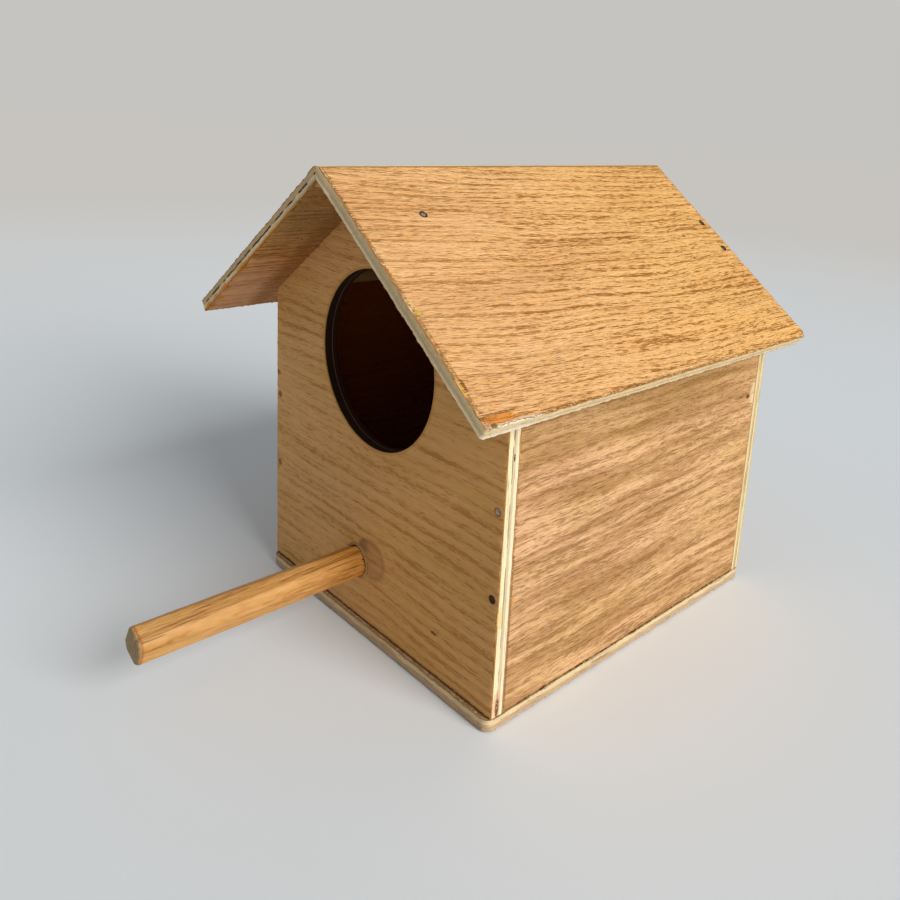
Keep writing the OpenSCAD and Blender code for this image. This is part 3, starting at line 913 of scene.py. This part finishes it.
def perchFinish():
    paint, tree, surface = startPaint("whittledPerch", 0.25)
    low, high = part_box("perch")
    place = boardSpace(tree, (0, 1, 0), (1, 0, 0), (0, 0, 1), middleOf("perch", low.y))
    grain = useGroup(oakGrain, perchLook, place=place, seed=8.0)
    # long drying cracks
    crack = spread(cloudy(place, (26, 0.75, 0.75), 2.0, 0.55, (11, 3, 9)), 0.635, 0.7)
    crack = times(crack, spread(cloudy(place, (24, 5, 5), 1.0, 0.5, (1, 5, 2)), 0.46, 0.58))
    colour = blend(times(crack, 0.9), grain["colour"], perchLook["pore"])
    # weathered grey end with a darker rim
    along = split(place)[0]
    endNoise = cloudy(place, (3, 0.6, 2.2), 3.0, 0.65)
    endDepth = timesPlus(endNoise, -1.3, along)
    rim = times(spread(endDepth, 0.0, 0.5), spread(endDepth, 0.7, 1.5, 1.0, 0.0))
    colour = blend(times(rim, 0.75), colour, perchLook["endRim"])
    endTone = blend(spread(endNoise, 0.3, 0.7), perchLook["endDark"], perchLook["endPale"])
    colour = blend(spread(endDepth, -0.1, 0.35, 1.0, 0.0), colour, endTone)
    # the stick grows darker and warmer towards its root
    soaked = spread(along, perchLook["soakedFrom"], (high.y - low.y) / mm - 6)
    colour = blend(soaked, colour, blend(1.0, colour, perchLook["soaked"], "MULTIPLY"))
    finishPaint(surface, colour, spread(grain["pores"], 0.0, 1.0, 0.42, 0.7),
                timesPlus(crack, -1.6, grain["height"]), 0.12 * mm)
    return paint


def makePerch():
    low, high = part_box("perch")
    centre = middleOf("perch", 0)
    radius = (high.x - low.x) / 2
    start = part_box("perch_glue")[0].y - 0.05 * mm  # full thickness begins clear of the glue
    length = start - low.y
    clearSelection()
    bpy.ops.mesh.primitive_cylinder_add(vertices=56, radius=radius, depth=length,
                                        location=(centre.x, low.y + length / 2, centre.z),
                                        rotation=(radians(90), 0, 0))
    stick = named("whittledPerch")
    applyPlace()
    editMode()
    # knife flats, each a little off the axis
    for angle, depth, taper in perchLook["cuts"]:
        outward = Vector((cos(radians(angle)), 0, sin(radians(angle))))
        at = centre + outward * (radius - depth * mm) + Vector((0, low.y + length / 2, 0))
        cutOff(at, (outward + Vector((0, tan(radians(taper)), 0))).normalized())
    pick(stick, "edges", lambda e: all(v.co.y < low.y + 0.05 * mm for v in e.verts))
    bpy.ops.mesh.bevel(offset=perchLook["rounding"], segments=3, affect="EDGES")
    # neck and tenon into the wall
    pick(stick, "faces", lambda f: f.calc_center_median().y > start - 0.05 * mm and f.normal.y > 0.8)
    inset(0.3 * mm)
    extrude(0, high.y - start, 0)
    for i in range(1, perchLook["rings"]):
        selectAll()
        bpy.ops.mesh.bisect(plane_co=(0, low.y + length * i / perchLook["rings"], 0), plane_no=(0, 1, 0))
    objectMode()
    pushAbout(stick, "knifeWaver", 9 * mm, 0.3, -0.25 * mm)
    finishPiece(stick, perchFinish(), "perch", angle=14)


perchGlueLook = {
    "tint": (0.5, 0.29, 0.115), "rough": 0.65,
    "half": (0.62 * mm, 0.3 * mm),  # half its width along the wall and out from it
    "from": (6.95 * mm, 0.24 * mm),  # of its middle, from the perch's axis and the wall
    "swell": 0.5 * mm,
}
ridgeGlueLook = {"tint": (0.8, 0.42, 0.15), "rough": 0.4, "bays": 13, "sag": (0.35 * mm, 0.3 * mm)}


def glueFinish(name, tint, rough):
    paint, tree, surface = startPaint(name, 0.15)
    cloud = cloudy(objectPlace(tree), [2.2 * mm] * 3, 3.0, 0.6)
    finishPaint(surface, blend(spread(cloud, 0.3, 0.7), [c * 0.7 for c in tint], tint),
                spread(cloud, 0.3, 0.7, rough, rough + 0.25), cloud, 0.15 * mm)
    return paint


def makePerchGlue():
    # a thin fillet spun round the root of the perch
    centre = middleOf("perch_glue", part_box("perch_glue")[1].y)
    clearSelection()
    bpy.ops.mesh.primitive_circle_add(vertices=10, radius=1, location=(0, 0, 0))
    ring = named("perchGlueRing")
    editMode()
    selectAll()
    bpy.ops.transform.resize(value=(*perchGlueLook["half"], 1))
    away, proud = perchGlueLook["from"]
    bpy.ops.transform.translate(value=(centre.x + away, centre.y - proud, centre.z))
    bpy.ops.mesh.spin(steps=64, angle=radians(360), center=centre, axis=(0, 1, 0))
    selectAll()
    bpy.ops.mesh.remove_doubles(threshold=0.01 * mm)
    closeShape()
    pushAbout(ring, "gluePush", 4 * mm, 0.6, perchGlueLook["swell"])
    paint = glueFinish("perchGlue", perchGlueLook["tint"], perchGlueLook["rough"])
    finishPiece(ring, paint, "perch_glue", angle=80)


def makeRidgeGlue():
    # a three-sided bead in the corner under the ridge
    low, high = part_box("ridge_glue")
    clearSelection()
    bpy.ops.mesh.primitive_plane_add(size=1, location=(0, low.y, (low.z + high.z) / 2),
                                     rotation=(radians(90), 0, 0))
    bead = named("ridgeGlueBead")
    applyPlace()
    editMode()
    selectAll()
    bpy.ops.transform.resize(value=(high.x - low.x, 1, high.z - low.z))
    for side in (-1, 1):
        cutOff((0, low.y, high.z), (side * sin(pitch), 0, cos(pitch)), False)
    selectAll()
    for _ in range(ridgeGlueLook["bays"]):
        extrude(0, (high.y - low.y) / ridgeGlueLook["bays"], 0)
    closeShape()
    # the lower face sags unevenly between the roof boards
    sag, uneven = ridgeGlueLook["sag"]
    for v in bead.data.vertices:
        if v.co.z < low.z + 0.2 * mm:
            v.co.z += sag + uneven * noise.noise(v.co * 300)
    paint = glueFinish("ridgeGlue", ridgeGlueLook["tint"], ridgeGlueLook["rough"])
    finishPiece(bead, paint, "ridge_glue", angle=40)


def nailFinish():
    # ring and rust come from the mesh: how far out on the head, and how rusty the nail is
    paint, tree, surface = startPaint("dullSteel", 0.25)
    ring, rust = [addNode(tree, "ShaderNodeAttribute", attribute_name=name).outputs["Fac"]
                  for name in ("ring", "rust")]
    scratch = cloudy(objectPlace(tree), (0.9 * mm, 0.3 * mm, 0.9 * mm), 3.0, 0.65)
    streak = spread(scratch, 0.35, 0.65)
    stained = plus(rust, minus(streak, 0.5), clamp=True)
    colour = blend(streak, nailLook["dull"], nailLook["bright"])
    colour = blend(stained, colour, nailLook["rustTint"])
    # the dark ring round the head's rim is painted shade
    shade = times(spread(timesPlus(scratch, 0.3, ring), 0.66, 0.9), spread(rust, -0.6, 0.0, 0.3, 1.0))
    colour = blend(shade, colour, nailLook["rim"])
    colour = blend(spread(rust, 1.4, 1.6), colour, nailLook["filler"])
    feed(surface["Metallic"], spread(sums("MAXIMUM", shade, stained), 0.0, 1.0, 0.15, 0.0))
    rough = timesPlus(stained, 0.35, spread(scratch, 0.3, 0.7, 0.4, 0.65), clamp=True)
    finishPaint(surface, colour, rough, scratch, 0.05 * mm)
    return paint


def modelNail():
    # head at the origin facing +Z, shank below
    radius, depth, point = nailLook["headRadius"], nailLook["headDepth"], nailLook["point"]
    clearSelection()
    bpy.ops.mesh.primitive_cylinder_add(vertices=20, radius=radius, depth=depth,
                                        location=(0, 0, -depth / 2))
    nail = named("nailPattern")
    applyPlace()
    editMode()
    pick(nail, "faces", lambda f: f.normal.z > 0.9)
    inset(0.25 * mm)
    bpy.ops.transform.translate(value=(0, 0, -nailLook["recess"]))
    inset(0.35 * mm)
    pick(nail, "edges", lambda e: all(abs(v.co.xy.length - radius) < 0.01 * mm and v.co.z > -0.1 * mm
                                      for v in e.verts))
    bpy.ops.mesh.bevel(offset=0.12 * mm, segments=2, affect="EDGES")
    pick(nail, "faces", lambda f: f.normal.z < -0.9)
    inset(radius - nailLook["shankRadius"])
    extrude(0, 0, depth + point - nailLook["length"])
    extrude(0, 0, -point)
    bpy.ops.transform.resize(value=(0.1, 0.1, 1))
    objectMode()
    ring = nail.data.attributes.new("ring", "FLOAT", "POINT")
    ring.data.foreach_set("value", [min(1.0, v.co.xy.length / radius) for v in nail.data.vertices])
    return nail


def makeNails():
    steel = nailFinish()
    pattern = modelNail()
    for nodeName, (outward, _) in nailNodes.items():
        axis, made = Vector(outward), []
        for i, head in enumerate(sorted(nailSpots(nodeName, axis), key=lambda h: h.z)):
            activate(pattern)
            bpy.ops.object.duplicate()
            nail = bpy.context.object
            nail.rotation_mode = "QUATERNION"
            spin = Matrix.Rotation(1.3 * i + len(nodeName), 3, "Z").to_quaternion()  # no two alike
            nail.rotation_quaternion = axis.to_track_quat("Z", "Y") @ spin
            nail.location = head - axis * 0.02 * mm
            rust = nail.data.attributes.new("rust", "FLOAT", "POINT")
            amount = nailLook["rusty"].get(nodeName, (0.2, 0.2))[i]
            rust.data.foreach_set("value", [amount] * len(nail.data.vertices))
            applyPlace()
            nail.rotation_mode = "XYZ"
            made.append(nail)
        clearSelection()
        for nail in made:
            nail.select_set(True)
        bpy.context.view_layer.objects.active = made[0]
        if len(made) > 1:
            bpy.ops.object.join()
        joined = named("nails_" + nodeName.replace("_nails", "").replace("_nail", ""))
        finishPiece(joined, steel, nodeName, angle=40)
    bpy.data.objects.remove(pattern)


setCamera()
setLight()
layFloor()
print("camera, light and floor set")
makeBoards()
print("boards made")
makePerch()
makePerchGlue()
makeRidgeGlue()
print("perch and glue made")
makeNails()
print("nails made")
